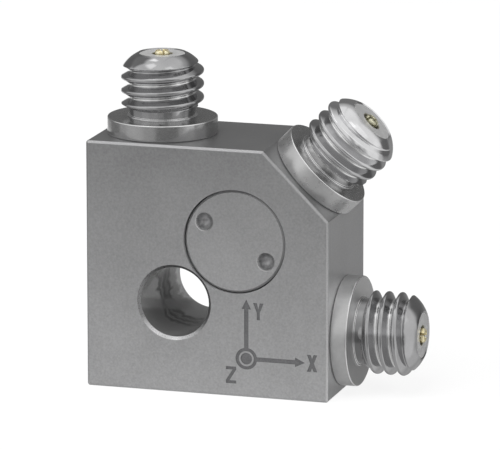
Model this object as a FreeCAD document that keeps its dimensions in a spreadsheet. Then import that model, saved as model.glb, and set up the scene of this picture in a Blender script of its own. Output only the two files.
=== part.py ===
import FreeCAD, Part
import math
import os
import Sketcher
from FreeCAD import Vector

# Triaxial vibration sensor: a square steel block with one cut corner and three threaded
# coaxial connectors. The origin is the middle of the mounting hole on the back face.
# X points right, Y points back and Z points up, so the front face looks along -Y.
# Lengths are in millimetres and angles in degrees.
values = {
    # block
    "block_side": 14.5,
    "block_depth": 7.6,
    "corner_cut": 3.9,
    "edge_break": 0.13,
    "bore_inset": 5.3,
    "bore_radius": 2.05,
    "bore_bevel": 0.17,
    # round cover and the cavity behind it
    "cover_right": 3.63,
    "cover_up": 3.79,
    "seat_radius": 3.05,
    "seat_depth": 1.0,
    "seat_ledge": 0.4,
    "shoulder_width": 0.35,
    "back_wall": 1.0,
    "cover_gap": 0.05,
    "cover_recess": 0.12,
    "cover_bevel": 0.14,
    "pin_hole_radius": 0.48,
    "pin_hole_depth": 0.35,
    "pin_hole_spread": 2.12,
    "pin_hole_bearing": -30.0,
    # connectors: their place on the block, then the shell along its own axis
    "connector_inset": 3.5,
    "connector_level": 4.0,
    "spigot_radius": 1.6,
    "spigot_length": 1.5,
    "spigot_gap": 0.1,
    "flange_radius": 3.2,
    "flange_height": 0.97,
    "flange_bevel": 0.06,
    "collar_radius": 2.02,
    "collar_height": 0.1,
    "neck_radius": 1.9,
    "neck_top": 1.46,
    "runout_length": 0.27,
    "thread_radius": 2.413,
    "thread_pitch": 0.794,
    "thread_depth": 0.487,
    "thread_root_width": 0.15,
    "thread_flank": 30.0,
    "thread_start": 1.3,
    "thread_clear": 0.05,
    "dome_start": 3.7,
    "dome_radius": 2.0,
    "shell_length": 4.68,
    "end_flat_radius": 1.33,
    "end_lip_width": 0.07,
    "end_dish": 0.06,
    # coaxial socket inside the shell
    "socket_radius": 0.56,
    "socket_depth": 0.83,
    "seal_radius": 1.15,
    "seal_length": 2.6,
    "pin_radius": 0.2,
    "pin_tail": 1.0,
    "contact_radius": 0.42,
    "contact_proud": 0.14,
    "contact_bore_radius": 0.17,
    "contact_bore_depth": 0.75,
    "contact_slot_width": 0.12,
    "contact_slot_depth": 0.55,
    "contact_bevel": 0.08,
    # the corner connector stands further out, has a smaller flange and sits off the middle
    # of the cut, towards its right-hand side
    "corner_stand": 0.2,
    "corner_flange_radius": 2.9,
    "corner_shift": 0.12,
    # turn of each thread about its own axis
    "top_turn": 208.0,
    "corner_turn": 58.0,
    "right_turn": 158.0,
    # wire passages and leads
    "passage_radius": 0.45,
    "passage_slant": 45.0,
    "passage_offset": 0.95,
    "lead_radius": 0.12,
    "lead_ring_gap": 0.4,
    "lead_drop": 0.35,
    # sensing element
    "base_gap": 0.1,
    "base_thickness": 0.7,
    "post_width": 1.5,
    "element_gap": 1.0,
    "element_margin": 0.2,
    "element_width": 1.3,
    "plate_thickness": 0.35,
    "electrode_thickness": 0.1,
    "mass_thickness": 0.75,
    "element_lead_radius": 0.08,
    # circuit board
    "component_room": 1.3,
    "board_thickness": 0.4,
    "board_gap": 0.05,
    "chip_length": 1.3,
    "chip_width": 0.95,
    "chip_height": 0.45,
    "chip_ring_radius": 1.35,
    "chip_bearing": -30.0,
    "resistor_length": 0.6,
    "resistor_width": 0.3,
    "resistor_height": 0.22,
    "capacitor_length": 0.7,
    "capacitor_width": 0.4,
    "capacitor_height": 0.4,
    "small_part_pitch": 0.5,
    "small_part_right": 1.6,
    "small_part_up": 0.15,
    # engraved axis sign
    "mark_depth": 0.03,
    "sign_right": 4.35,
    "sign_down": 3.01,
    "ring_radius": 0.64,
    "ring_line": 0.19,
    "dot_radius": 0.34,
    "arrow_line": 0.25,
    "arrow_length": 3.5,
    "arrow_head_length": 0.58,
    "arrow_head_width": 0.56,
    "letter_height": 1.0,
    "letter_width": 0.62,
    "letter_stroke": 0.18,
    "letter_slant_stroke": 0.22,
    "letter_fork": 0.14,
    "letter_x_ahead": 0.43,
    "letter_y_aside": 0.72,
    "letter_y_back": 0.68,
    "letter_z_left": 0.92,
    "letter_z_down": 1.02,
}

doc = FreeCAD.newDocument("vibration_sensor")
sheet = doc.addObject("Spreadsheet::Sheet", "sizes")
for row, (alias, value) in enumerate(values.items(), 1):
    sheet.set(f"A{row}", alias)
    sheet.set(f"B{row}", str(value))
    sheet.setAlias(f"B{row}", alias)
doc.recompute()

# Places that several pieces share, as expressions on the sheet. A level is a distance
# forward from the back face.
far_face = "(sizes.block_side - sizes.bore_inset)"
near_face = "(-sizes.bore_inset)"
cut_middle = "(sizes.block_side - sizes.bore_inset - sizes.corner_cut / 2)"
connector_line = "(sizes.connector_inset - sizes.bore_inset)"
axis_level = "sizes.connector_level"
corner_offset = "(sizes.corner_shift * cos(45))"
cavity_radius = "(sizes.seat_radius - sizes.seat_ledge - sizes.shoulder_width)"
lead_ring = f"({cavity_radius} - sizes.lead_ring_gap)"
room_radius = "(sizes.seat_radius - sizes.seat_ledge)"
cover_back = "(sizes.block_depth - sizes.seat_depth)"
cover_front = "(sizes.block_depth - sizes.cover_recess)"
board_front = f"({cover_back} - sizes.component_room)"
board_back = f"({board_front} - sizes.board_thickness)"
base_front = "(sizes.back_wall + sizes.base_thickness)"
post_front = f"({board_back} - sizes.element_gap)"
element_back = f"({base_front} + sizes.element_margin)"
element_front = f"({post_front} - sizes.element_margin)"
bore_depth = "(sizes.spigot_length + sizes.spigot_gap)"
seal_front = "(sizes.shell_length - sizes.socket_depth)"
seal_back = f"({seal_front} - sizes.seal_length)"
contact_front = "(sizes.shell_length + sizes.contact_proud)"

# Each connector: its place on the block, how far its axis leans from Z towards X, the
# side on which its wire passage leaves the axis, the turn of its thread, how far it
# stands out of the block's surface, and its flange.
connectors = {
    "y": {
        "right": connector_line,
        "up": far_face,
        "lean": 0.0,
        "side": 1,
        "turn": "sizes.top_turn",
        "stand": "0",
        "flange": "sizes.flange_radius",
    },
    "z": {
        "right": f"({cut_middle} + {corner_offset})",
        "up": f"({cut_middle} - {corner_offset})",
        "lean": 45.0,
        "side": 0,
        "turn": "sizes.corner_turn",
        "stand": "sizes.corner_stand",
        "flange": "sizes.corner_flange_radius",
    },
    "x": {
        "right": far_face,
        "up": connector_line,
        "lean": 90.0,
        "side": -1,
        "turn": "sizes.right_turn",
        "stand": "0",
        "flange": "sizes.flange_radius",
    },
}


def number(expression):
    return float(sheet.evalExpression(expression.replace("sizes.", "")))


def new_body(name):
    body = doc.addObject("PartDesign::Body", name)
    body.Label = name
    return body


def new_sketch(body, name, role, right="0", up="0", out="0", turn="0"):
    # a sketch on one of the body's own planes, moved and turned within that plane
    plane = next(p for p in body.Origin.OriginFeatures if p.Role == role)
    sketch = body.newObject("Sketcher::SketchObject", name)
    sketch.AttachmentSupport = [(plane, "")]
    sketch.MapMode = "FlatFace"
    place = f"vector({right}; {up}; {out})"
    sketch.setExpression("AttachmentOffset", f"placement({place}; rotation(vector(0; 0; 1); {turn}))")
    doc.recompute()
    return sketch


def bind(sketch, constraint, expression):
    index = sketch.addConstraint(constraint)
    sketch.setExpression(f"Constraints[{index}]", expression)


def bulged_edge(start, end, radius):
    # an arc of the given radius on the right-hand side of the way from start to end
    chord = end - start
    sag = radius - math.sqrt(radius**2 - (chord.Length / 2) ** 2)
    outward = Vector(chord.y, -chord.x, 0).normalize()
    middle = (start + end) * 0.5 + outward * sag
    return Part.Arc(start, middle, end)


def add_outline(sketch, corners, bulges=None):
    # a closed outline through corners given as pairs of expressions; bulges gives the
    # radius of each edge that is an arc, by the number of the corner it starts from
    bulges = bulges or {}
    points = [Vector(number(across), number(along), 0) for across, along in corners]
    first = sketch.GeometryCount
    count = len(points)
    for i, start in enumerate(points):
        end = points[(i + 1) % count]
        if i in bulges:
            sketch.addGeometry(bulged_edge(start, end, number(bulges[i])), False)
        else:
            sketch.addGeometry(Part.LineSegment(start, end), False)
    for i in range(count):
        this_edge = first + i
        next_edge = first + (i + 1) % count
        sketch.addConstraint(Sketcher.Constraint("Coincident", this_edge, 2, next_edge, 1))
    for i, (across, along) in enumerate(corners):
        edge = first + i
        bind(sketch, Sketcher.Constraint("DistanceX", -1, 1, edge, 1, points[i].x), across)
        bind(sketch, Sketcher.Constraint("DistanceY", -1, 1, edge, 1, points[i].y), along)
    for i, radius in bulges.items():
        bind(sketch, Sketcher.Constraint("Radius", first + i, number(radius)), radius)


def add_circle(sketch, across, along, radius):
    middle = Vector(number(across), number(along), 0)
    index = sketch.addGeometry(Part.Circle(middle, Vector(0, 0, 1), number(radius)), False)
    bind(sketch, Sketcher.Constraint("DistanceX", -1, 1, index, 3, middle.x), across)
    bind(sketch, Sketcher.Constraint("DistanceY", -1, 1, index, 3, middle.y), along)
    bind(sketch, Sketcher.Constraint("Radius", index, number(radius)), radius)


def rectangle(left, right, bottom, top):
    return [(left, bottom), (right, bottom), (right, top), (left, top)]


def pad(body, sketch, name, length):
    feature = body.newObject("PartDesign::Pad", name)
    feature.Profile = sketch
    feature.setExpression("Length", length)
    doc.recompute()
    return feature


def must_cut(body, feature, before):
    # a cut that points away from the solid leaves it whole and shows no error
    doc.recompute()
    if not body.Shape.Volume < before - 1e-6:
        raise RuntimeError(f"{feature.Name} takes nothing away")
    return feature


def pocket(body, sketch, name, depth):
    before = body.Shape.Volume
    feature = body.newObject("PartDesign::Pocket", name)
    feature.Profile = sketch
    feature.setExpression("Length", depth)
    return must_cut(body, feature, before)


def groove(body, sketch, name, axis="V_Axis"):
    before = body.Shape.Volume
    feature = body.newObject("PartDesign::Groove", name)
    feature.Profile = sketch
    feature.ReferenceAxis = (sketch, [axis])
    return must_cut(body, feature, before)


def turned(body, name, corners, bulges=None):
    # a solid turned about the body's own Z axis, its outline given as radius and height
    sketch = new_sketch(body, f"{name}_outline", "XZ_Plane")
    add_outline(sketch, corners, bulges)
    feature = body.newObject("PartDesign::Revolution", name)
    feature.Profile = sketch
    feature.ReferenceAxis = (sketch, ["V_Axis"])
    doc.recompute()
    return feature


def bevel(body, name, size, chosen):
    # a chamfer on the edges of the body so far for which chosen(edge) is true
    base = body.Tip
    names = [f"Edge{i}" for i, edge in enumerate(base.Shape.Edges, 1) if chosen(edge)]
    feature = body.newObject("PartDesign::Chamfer", name)
    feature.Base = (base, names)
    feature.setExpression("Size", size)
    doc.recompute()
    return feature


def is_circle(edge, radius, level=None):
    # a circle of this radius, at this level forward of the back face if one is given
    curve = edge.Curve
    if not isinstance(curve, Part.Circle) or abs(curve.Radius - radius) > 1e-6:
        return False
    return level is None or abs(-curve.Center.y - level) < 1e-6


# Housing: one milled block
def build_housing():
    body = new_body("housing")
    outline = new_sketch(body, "block_outline", "XZ_Plane")
    cut_start = f"({far_face} - sizes.corner_cut)"
    add_outline(
        outline,
        [
            (near_face, near_face),
            (far_face, near_face),
            (far_face, cut_start),
            (cut_start, far_face),
            (near_face, far_face),
        ],
    )
    pad(body, outline, "block", "sizes.block_depth")
    bevel(body, "block_edges", "sizes.edge_break", lambda edge: True)
    cut_mounting_bore(body)
    cut_cavity(body)
    for letter, connector in connectors.items():
        cut_connector_bore(body, letter, connector)
    engrave_axis_sign(body)


def cut_mounting_bore(body):
    circle = new_sketch(body, "bore_circle", "XZ_Plane", out="sizes.block_depth")
    add_circle(circle, "0", "0", "sizes.bore_radius")
    pocket(body, circle, "mounting_bore", "sizes.block_depth")
    radius = values["bore_radius"]
    front = values["block_depth"]
    bevel(body, "bore_mouth", "sizes.bore_bevel", lambda edge: is_circle(edge, radius, front))


def cut_cavity(body):
    # from the back: room for the sensing element, shoulder for the board, ledge and seat
    # for the cover
    profile = new_sketch(body, "cavity_outline", "YZ_Plane", "0", "sizes.cover_up", "sizes.cover_right")
    add_outline(
        profile,
        [
            ("-sizes.back_wall", "0"),
            ("-sizes.back_wall", cavity_radius),
            (f"-{board_back}", cavity_radius),
            (f"-{board_back}", room_radius),
            (f"-{cover_back}", room_radius),
            (f"-{cover_back}", "sizes.seat_radius"),
            ("-sizes.block_depth", "sizes.seat_radius"),
            ("-sizes.block_depth", "0"),
        ],
    )
    groove(body, profile, "cavity", "H_Axis")


def cut_connector_bore(body, letter, connector):
    # a blind bore for the spigot, and a narrow passage from its floor into the cavity
    lean = connector["lean"]
    place = (connector["right"], connector["up"], axis_level)
    bore = new_sketch(body, f"{letter}_bore_outline", "XZ_Plane", *place, f"-{lean}")
    add_outline(bore, rectangle("0", "sizes.spigot_radius", f"-{bore_depth}", "0"))
    groove(body, bore, f"{letter}_bore")
    path = lead_path(connector)
    place = (path["start_right"], path["start_up"], axis_level)
    passage = new_sketch(body, f"{letter}_passage_outline", "XZ_Plane", *place, path["turn"])
    reach = f"({path['reach']} + sizes.lead_radius)"
    add_outline(passage, rectangle("0", "sizes.passage_radius", f"-{reach}", "sizes.passage_radius"))
    groove(body, passage, f"{letter}_passage")


def lead_path(connector):
    # where the passage leaves the floor of the bore, which way it points, and how far it
    # runs to the ring on which the leads turn towards the board
    lean = connector["lean"]
    offset = f"({connector['side']} * sizes.passage_offset)"
    turn = f"({connector['side']} * sizes.passage_slant - {lean})"
    start_right = f"({connector['right']} - sin({lean}) * {bore_depth} + cos({lean}) * {offset})"
    start_up = f"({connector['up']} - cos({lean}) * {bore_depth} - sin({lean}) * {offset})"
    way_right = f"sin({turn})"
    way_up = f"(-cos({turn}))"
    gap_right = f"(sizes.cover_right - {start_right})"
    gap_up = f"(sizes.cover_up - {start_up})"
    reach = f"({way_right} * {gap_right} + {way_up} * {gap_up} - {lead_ring})"
    return {
        "start_right": start_right,
        "start_up": start_up,
        "turn": turn,
        "reach": reach,
        "end_right": f"({start_right} + {way_right} * {reach})",
        "end_up": f"({start_up} + {way_up} * {reach})",
    }


# Axis sign: shallow engraving on the front face of the housing
def engrave_axis_sign(body):
    right = "sizes.sign_right"
    up = "(-sizes.sign_down)"
    ring = new_sketch(body, "ring_outline", "XZ_Plane", right, up, "sizes.block_depth")
    add_circle(ring, "0", "0", "sizes.ring_radius")
    add_circle(ring, "0", "0", "(sizes.ring_radius - sizes.ring_line)")
    add_circle(ring, "0", "0", "sizes.dot_radius")
    pocket(body, ring, "ring_mark", "sizes.mark_depth")
    for name, turn in (("right_arrow", "-90"), ("up_arrow", "0")):
        arrow = new_sketch(body, f"{name}_outline", "XZ_Plane", right, up, "sizes.block_depth", turn)
        add_outline(arrow, arrow_corners())
        pocket(body, arrow, f"{name}_mark", "sizes.mark_depth")
    x_right = f"({right} + sizes.arrow_length + sizes.letter_x_ahead)"
    y_right = f"({right} + sizes.letter_y_aside)"
    y_up = f"({up} + sizes.arrow_length - sizes.letter_y_back)"
    z_right = f"({right} - sizes.letter_z_left)"
    z_up = f"({up} - sizes.letter_z_down)"
    letters = {
        "letter_x": (letter_x(), x_right, up),
        "letter_y": (letter_y(), y_right, y_up),
        "letter_z": (letter_z(), z_right, z_up),
    }
    for name, (corners, across, along) in letters.items():
        letter = new_sketch(body, f"{name}_outline", "XZ_Plane", across, along, "sizes.block_depth")
        add_outline(letter, corners)
        pocket(body, letter, f"{name}_mark", "sizes.mark_depth")


def arrow_corners():
    half_line = "(sizes.arrow_line / 2)"
    half_head = "(sizes.arrow_head_width / 2)"
    foot = "(sizes.ring_radius - sizes.ring_line / 2)"
    shoulder = "(sizes.arrow_length - sizes.arrow_head_length)"
    return [
        (f"-{half_line}", foot),
        (half_line, foot),
        (half_line, shoulder),
        (half_head, shoulder),
        ("0", "sizes.arrow_length"),
        (f"-{half_head}", shoulder),
        (f"-{half_line}", shoulder),
    ]


half_width = "(sizes.letter_width / 2)"
half_height = "(sizes.letter_height / 2)"
slant_stroke = "sizes.letter_slant_stroke"
stroke_left = f"({half_width} - {slant_stroke})"


def letter_x():
    # the inner corners are where the two strokes of equal width cross
    notch = f"({half_height} - sizes.letter_height * {stroke_left} / (2 * {half_width} - {slant_stroke}))"
    waist = f"({slant_stroke} / 2)"
    return [
        (f"-{half_width}", half_height),
        (f"-{waist}", "0"),
        (f"-{half_width}", f"-{half_height}"),
        (f"-{stroke_left}", f"-{half_height}"),
        ("0", f"-{notch}"),
        (stroke_left, f"-{half_height}"),
        (half_width, f"-{half_height}"),
        (waist, "0"),
        (half_width, half_height),
        (stroke_left, half_height),
        ("0", notch),
        (f"-{stroke_left}", half_height),
    ]


def letter_y():
    half_stem = "(sizes.letter_stroke / 2)"
    fork = "sizes.letter_fork"
    return [
        (f"-{half_width}", half_height),
        (f"-{half_stem}", f"-{fork} / 2"),
        (f"-{half_stem}", f"-{half_height}"),
        (half_stem, f"-{half_height}"),
        (half_stem, f"-{fork} / 2"),
        (half_width, half_height),
        (stroke_left, half_height),
        ("0", fork),
        (f"-{stroke_left}", half_height),
    ]


def letter_z():
    bar_top = f"({half_height} - sizes.letter_stroke)"
    return [
        (f"-{half_width}", f"-{half_height}"),
        (half_width, f"-{half_height}"),
        (half_width, f"-{bar_top}"),
        (f"-{stroke_left}", f"-{bar_top}"),
        (half_width, bar_top),
        (half_width, half_height),
        (f"-{half_width}", half_height),
        (f"-{half_width}", bar_top),
        (stroke_left, bar_top),
        (f"-{half_width}", f"-{bar_top}"),
    ]


# Cover: a round screwed plug with two blind holes for a pin spanner
def build_cover():
    body = new_body("cover")
    disc = new_sketch(body, "cover_circle", "XZ_Plane", "sizes.cover_right", "sizes.cover_up", cover_back)
    add_circle(disc, "0", "0", "(sizes.seat_radius - sizes.cover_gap)")
    pad(body, disc, "cover_disc", "(sizes.seat_depth - sizes.cover_recess)")
    front = number(cover_front)
    radius = number("sizes.seat_radius - sizes.cover_gap")
    bevel(body, "cover_rim", "sizes.cover_bevel", lambda edge: is_circle(edge, radius, front))
    turn = "sizes.pin_hole_bearing"
    holes = new_sketch(
        body, "pin_hole_circles", "XZ_Plane", "sizes.cover_right", "sizes.cover_up", cover_front, turn
    )
    for side in ("-", ""):
        add_circle(holes, f"{side}sizes.pin_hole_spread", "0", "sizes.pin_hole_radius")
    doc.recompute()
    before = body.Shape.Volume
    hole = body.newObject("PartDesign::Hole", "pin_holes")
    hole.Profile = holes
    hole.DepthType = "Dimension"
    hole.DrillPoint = "Angled"
    hole.setExpression("Depth", "sizes.pin_hole_depth")
    hole.setExpression("Diameter", "2 * sizes.pin_hole_radius")
    must_cut(body, hole, before)


# Connectors: a threaded shell, a glass seal and a slotted centre contact each, turned
# about their own axis with height zero at the flange's seat, or on the block's surface for
# a connector that doesn't stand out
def place_connector(body, connector):
    right = f"({connector['right']} + sin({connector['lean']}) * {connector['stand']})"
    up = f"({connector['up']} + cos({connector['lean']}) * {connector['stand']})"
    place = f"vector({right}; -{axis_level}; {up})"
    lean = f"rotation(vector(0; 1; 0); {connector['lean']})"
    turn = f"rotation(vector(0; 0; 1); {connector['turn']})"
    body.setExpression("Placement", f"placement({place}; {lean} * {turn})")


def build_shell(letter, connector):
    body = new_body(f"{letter}_connector_shell")
    flange = connector["flange"]
    flange_foot = f"-{connector['stand']}"
    thread_foot = "(sizes.neck_top + sizes.runout_length)"
    end_flat = "(sizes.shell_length - sizes.end_dish)"
    turned(
        body,
        f"{letter}_shell",
        [
            ("sizes.seal_radius", "-sizes.spigot_length"),
            ("sizes.spigot_radius", "-sizes.spigot_length"),
            ("sizes.spigot_radius", flange_foot),
            (flange, flange_foot),
            (flange, "(sizes.flange_height - sizes.flange_bevel)"),
            (f"({flange} - sizes.flange_bevel)", "sizes.flange_height"),
            ("sizes.collar_radius", "sizes.flange_height"),
            ("sizes.collar_radius", "(sizes.flange_height + sizes.collar_height)"),
            ("sizes.neck_radius", "(sizes.flange_height + sizes.collar_height)"),
            ("sizes.neck_radius", "sizes.neck_top"),
            ("sizes.thread_radius", thread_foot),
            ("sizes.thread_radius", "sizes.dome_start"),
            ("(sizes.end_flat_radius + sizes.end_lip_width)", "sizes.shell_length"),
            ("sizes.end_flat_radius", end_flat),
            ("sizes.socket_radius", end_flat),
            ("sizes.socket_radius", seal_front),
            ("sizes.seal_radius", seal_front),
        ],
        {11: "sizes.dome_radius"},
    )
    cut_thread(body, letter)
    place_connector(body, connector)


def cut_thread(body, letter):
    # a right-hand helical groove, narrow at the root, with flanks 60 degrees apart
    before = body.Shape.Volume
    root = "(sizes.thread_radius - sizes.thread_depth)"
    clear = "(sizes.thread_radius + sizes.thread_clear)"
    half_root = "(sizes.thread_root_width / 2)"
    half_mouth = f"({half_root} + ({clear} - {root}) * tan(sizes.thread_flank))"
    profile = new_sketch(body, f"{letter}_thread_outline", "XZ_Plane", "0", "sizes.thread_start")
    add_outline(
        profile,
        [
            (root, f"-{half_root}"),
            (clear, f"-{half_mouth}"),
            (clear, half_mouth),
            (root, half_root),
        ],
    )
    helix = body.newObject("PartDesign::SubtractiveHelix", f"{letter}_thread")
    helix.Profile = profile
    helix.ReferenceAxis = (profile, ["V_Axis"])
    helix.Mode = "pitch-height-angle"
    helix.setExpression("Pitch", "sizes.thread_pitch")
    helix.setExpression("Height", "(sizes.shell_length - sizes.thread_start)")
    must_cut(body, helix, before)


def build_seal(letter, connector):
    body = new_body(f"{letter}_connector_seal")
    outline = rectangle("sizes.pin_radius", "sizes.seal_radius", seal_back, seal_front)
    turned(body, f"{letter}_seal", outline)
    place_connector(body, connector)


def build_contact(letter, connector):
    body = new_body(f"{letter}_centre_contact")
    bore_floor = f"({contact_front} - sizes.contact_bore_depth)"
    turned(
        body,
        f"{letter}_contact",
        [
            ("0", "-sizes.pin_tail"),
            ("sizes.pin_radius", "-sizes.pin_tail"),
            ("sizes.pin_radius", seal_front),
            ("sizes.contact_radius", seal_front),
            ("sizes.contact_radius", f"({contact_front} - sizes.contact_bevel)"),
            ("(sizes.contact_radius - sizes.contact_bevel)", contact_front),
            ("sizes.contact_bore_radius", contact_front),
            ("sizes.contact_bore_radius", bore_floor),
            ("0", bore_floor),
        ],
    )
    slots = new_sketch(body, f"{letter}_slot_outline", "XY_Plane", out=contact_front)
    half_slot = "(sizes.contact_slot_width / 2)"
    reach = "sizes.contact_radius"
    add_outline(
        slots,
        [
            (half_slot, half_slot),
            (half_slot, reach),
            (f"-{half_slot}", reach),
            (f"-{half_slot}", half_slot),
            (f"-{reach}", half_slot),
            (f"-{reach}", f"-{half_slot}"),
            (f"-{half_slot}", f"-{half_slot}"),
            (f"-{half_slot}", f"-{reach}"),
            (half_slot, f"-{reach}"),
            (half_slot, f"-{half_slot}"),
            (reach, f"-{half_slot}"),
            (reach, half_slot),
        ],
    )
    pocket(body, slots, f"{letter}_slots", "sizes.contact_slot_depth")
    place_connector(body, connector)


# Leads: insulated wire from each contact's tail through its passage to the board
def build_lead(letter, connector):
    body = new_body(f"{letter}_lead_wire")
    lean = connector["lean"]
    path = lead_path(connector)
    drop = "sizes.lead_drop"
    tail = f"(sizes.pin_tail - {connector['stand']})"
    tail_right = f"({connector['right']} - sin({lean}) * {tail})"
    tail_up = f"({connector['up']} - cos({lean}) * {tail})"
    bend_right = f"({tail_right} - sin({lean}) * {drop})"
    bend_up = f"({tail_up} - cos({lean}) * {drop})"
    points = [
        (tail_right, tail_up),
        (bend_right, bend_up),
        (path["start_right"], path["start_up"]),
        (path["end_right"], path["end_up"]),
    ]
    if connector["side"] == 0:
        points = [points[0], points[3]]
    for i in range(len(points) - 1):
        add_wire_run(body, f"{letter}_run_{i + 1}", points[i], points[i + 1])
        add_wire_ball(body, f"{letter}_bend_{i + 1}", points[i + 1])
    rise = new_sketch(body, f"{letter}_rise_circle", "XZ_Plane", *points[-1], axis_level)
    add_circle(rise, "0", "0", "sizes.lead_radius")
    pad(body, rise, f"{letter}_rise", f"({board_back} - {axis_level})")


def add_wire_run(body, name, start, end):
    # a straight round wire between two places at the level of the connectors' axes
    gap_right = f"({end[0]} - {start[0]})"
    gap_up = f"({end[1]} - {start[1]})"
    run = body.newObject("PartDesign::AdditiveCylinder", name)
    run.setExpression("Radius", "sizes.lead_radius")
    run.setExpression("Height", f"sqrt({gap_right}^2 + {gap_up}^2)")
    place = f"vector({start[0]}; -{axis_level}; {start[1]})"
    lean = f"rotation(vector(0; 1; 0); atan2({gap_right}; {gap_up}))"
    run.setExpression("Placement", f"placement({place}; {lean})")
    doc.recompute()


def add_wire_ball(body, name, place):
    ball = body.newObject("PartDesign::AdditiveSphere", name)
    ball.setExpression("Radius", "sizes.lead_radius")
    middle = f"vector({place[0]}; -{axis_level}; {place[1]})"
    ball.setExpression("Placement", f"placement({middle}; rotation(0; 0; 0))")
    doc.recompute()


# Sensing element: a post on a round base, with a crystal plate, an electrode and a mass
# on three of its sides, one for each direction
def build_element_post():
    body = new_body("element_post")
    base = new_sketch(
        body, "base_circle", "XZ_Plane", "sizes.cover_right", "sizes.cover_up", "sizes.back_wall"
    )
    add_circle(base, "0", "0", f"({cavity_radius} - sizes.base_gap)")
    pad(body, base, "post_base", "sizes.base_thickness")
    foot = new_sketch(body, "post_outline", "XZ_Plane", "sizes.cover_right", "sizes.cover_up", base_front)
    half_post = "(sizes.post_width / 2)"
    add_outline(foot, rectangle(f"-{half_post}", half_post, f"-{half_post}", half_post))
    pad(body, foot, "post", f"({post_front} - {base_front})")


def build_stack(letter, turn):
    # plate, electrode and mass lie against each other, outwards from the post
    half_width = "(sizes.element_width / 2)"
    inner = "(sizes.post_width / 2)"
    layers = {
        f"{letter}_crystal_plate": "sizes.plate_thickness",
        f"{letter}_electrode": "sizes.electrode_thickness",
        f"{letter}_seismic_mass": "sizes.mass_thickness",
    }
    for name, thickness in layers.items():
        outer = f"({inner} + {thickness})"
        body = new_body(name)
        place = ("sizes.cover_right", "sizes.cover_up", element_back)
        sketch = new_sketch(body, f"{name}_outline", "XZ_Plane", *place, turn)
        add_outline(sketch, rectangle(f"-{half_width}", half_width, inner, outer))
        pad(body, sketch, f"{name}_block", f"({element_front} - {element_back})")
        inner = outer
    build_element_lead(letter, turn, f"({inner} - sizes.mass_thickness / 2)")


def build_element_lead(letter, turn, along):
    body = new_body(f"{letter}_element_lead")
    place = ("sizes.cover_right", "sizes.cover_up", element_front)
    circle = new_sketch(body, f"{letter}_element_lead_circle", "XZ_Plane", *place, turn)
    add_circle(circle, "0", along, "sizes.element_lead_radius")
    pad(body, circle, f"{letter}_element_lead_run", f"({board_back} - {element_front})")


# Circuit board on the shoulder of the cavity, with its parts on the side of the cover
def build_board():
    body = new_body("circuit_board")
    disc = new_sketch(body, "board_circle", "XZ_Plane", "sizes.cover_right", "sizes.cover_up", board_back)
    add_circle(disc, "0", "0", f"({room_radius} - sizes.board_gap)")
    pad(body, disc, "board_disc", "sizes.board_thickness")


def board_box(name, kind, right, up):
    # a box on the front of the board, its middle at this place from the board's middle
    box = doc.addObject("Part::Box", name)
    box.setExpression("Length", f"sizes.{kind}_length")
    box.setExpression("Width", f"sizes.{kind}_height")
    box.setExpression("Height", f"sizes.{kind}_width")
    box.setExpression("Placement.Base.x", f"sizes.cover_right + {right} - sizes.{kind}_length / 2")
    box.setExpression("Placement.Base.y", f"-{board_front} - sizes.{kind}_height")
    box.setExpression("Placement.Base.z", f"sizes.cover_up + {up} - sizes.{kind}_width / 2")
    return box


def build_board_parts():
    for i, letter in enumerate(("x", "y", "z")):
        bearing = f"sizes.chip_bearing + {i} * 360 / 3"
        right = f"sizes.chip_ring_radius * cos({bearing})"
        up = f"sizes.chip_ring_radius * sin({bearing})"
        chip = board_box(f"{letter}_amplifier_chip", "chip", right, up)
        chip.Label = f"{letter}_amplifier_chip"
    build_row("resistors", "resistor", "-sizes.small_part_right")
    build_row("capacitors", "capacitor", "sizes.small_part_right")


def build_row(name, kind, right):
    # two small parts of one kind, one above the other
    boxes = []
    for i in range(2):
        up = f"sizes.small_part_up + {i} * sizes.small_part_pitch"
        boxes.append(board_box(f"{kind}_{i + 1}", kind, right, up))
    group = doc.addObject("Part::Compound", name)
    group.Links = boxes
    group.Label = name


build_housing()
build_cover()
for letter, connector in connectors.items():
    build_shell(letter, connector)
    build_seal(letter, connector)
    build_contact(letter, connector)
    build_lead(letter, connector)
build_element_post()
for letter, turn in (("x", "0"), ("y", "90"), ("z", "-90")):
    build_stack(letter, turn)
build_board()
build_board_parts()
doc.recompute()

faults = [o.Name for o in doc.Objects if "Invalid" in o.State or "Error" in o.State]
if faults:
    raise RuntimeError(f"failed objects: {faults}")
pieces = [o for o in doc.Objects if o.TypeId == "PartDesign::Body"]
pieces += [o for o in doc.Objects if o.Name.endswith("_amplifier_chip") or o.TypeId == "Part::Compound"]
for piece in pieces:
    if piece.Shape.isNull() or not piece.Shape.isValid():
        raise RuntimeError(f"bad shape: {piece.Label}")
os.makedirs("parts", exist_ok=True)
for piece in pieces:
    piece.Shape.exportStep(f"parts/{piece.Label}.step")
    print(piece.Label, len(piece.Shape.Solids), round(piece.Shape.Volume, 4))
print("pieces", len(pieces))
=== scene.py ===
import bmesh
import bpy
import numpy as np
from mathutils import Matrix, Vector


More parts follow.
